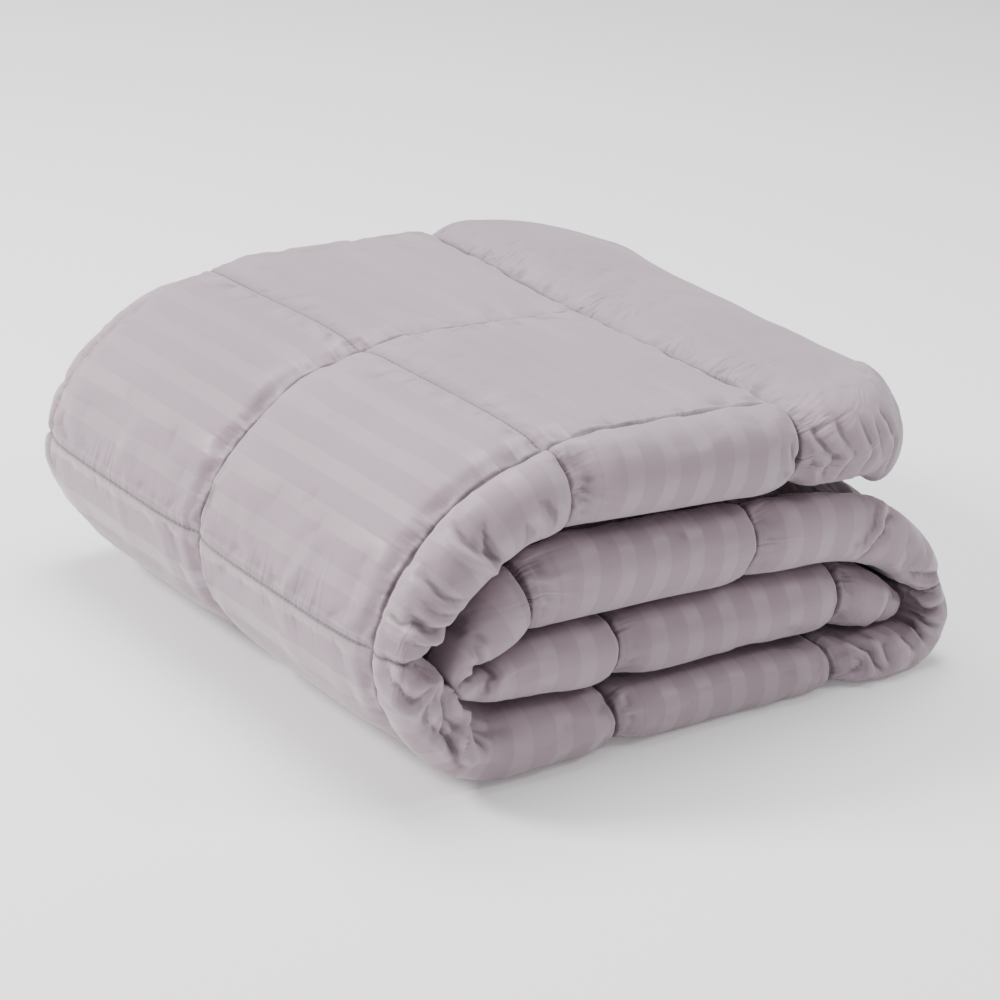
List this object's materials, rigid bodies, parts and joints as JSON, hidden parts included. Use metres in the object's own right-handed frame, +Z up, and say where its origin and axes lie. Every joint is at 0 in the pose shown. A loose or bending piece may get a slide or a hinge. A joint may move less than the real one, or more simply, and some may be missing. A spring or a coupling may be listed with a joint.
{
  "type": "comforter",
  "caption": "Quilted comforter with a woven satin stripe, doubled twice and folded over itself into a flat rounded bundle.",
  "frame": {"origin": "on the floor, under the middle of the bundle's outer size", "axes": "+X from the closed, wrapped side to the side where the open end lies on top; +Y from the front fold to the back fold; +Z up"},
  "size_m": [0.6137, 0.5949, 0.2801],
  "materials": {
    "sateen": "tone-on-tone satin stripe weave"
  },
  "bodies": {
    "root": {"comforter": "sateen"}
  },
  "joints": []
}
